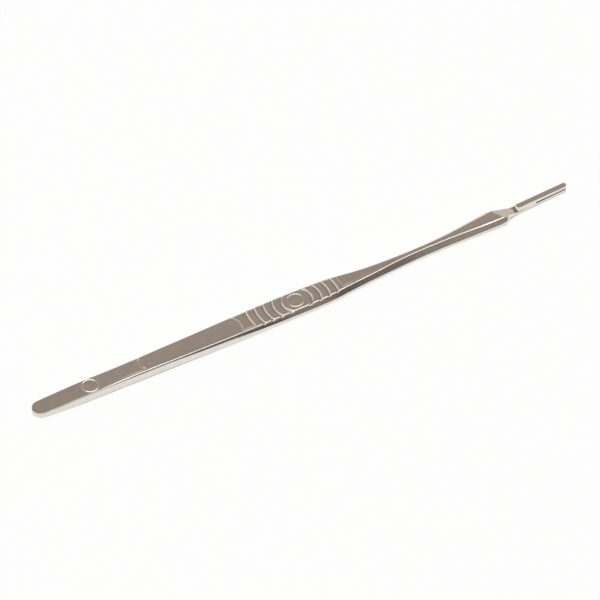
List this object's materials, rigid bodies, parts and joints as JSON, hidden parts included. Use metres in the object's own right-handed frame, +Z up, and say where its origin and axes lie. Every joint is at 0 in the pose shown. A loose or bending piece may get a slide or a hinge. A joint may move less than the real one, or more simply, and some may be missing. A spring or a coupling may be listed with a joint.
{
  "type": "scalpel handle",
  "caption": "Long one-piece scalpel handle: flat rear, raised panel, ribbed grip with round boss, slim neck, leaf-shaped shoulder and grooved blade fitting.",
  "frame": {"origin": "under the middle of the handle's bounding box, on the surface that it lies on", "axes": "+X along the handle from the rounded rear end to the blade fitting, +Y across it towards the spine, +Z up through its thickness"},
  "size_m": [0.21, 0.0104, 0.0041],
  "materials": {
    "steel": "satin polished stainless steel"
  },
  "bodies": {
    "root": {"handle": "steel"}
  },
  "joints": []
}
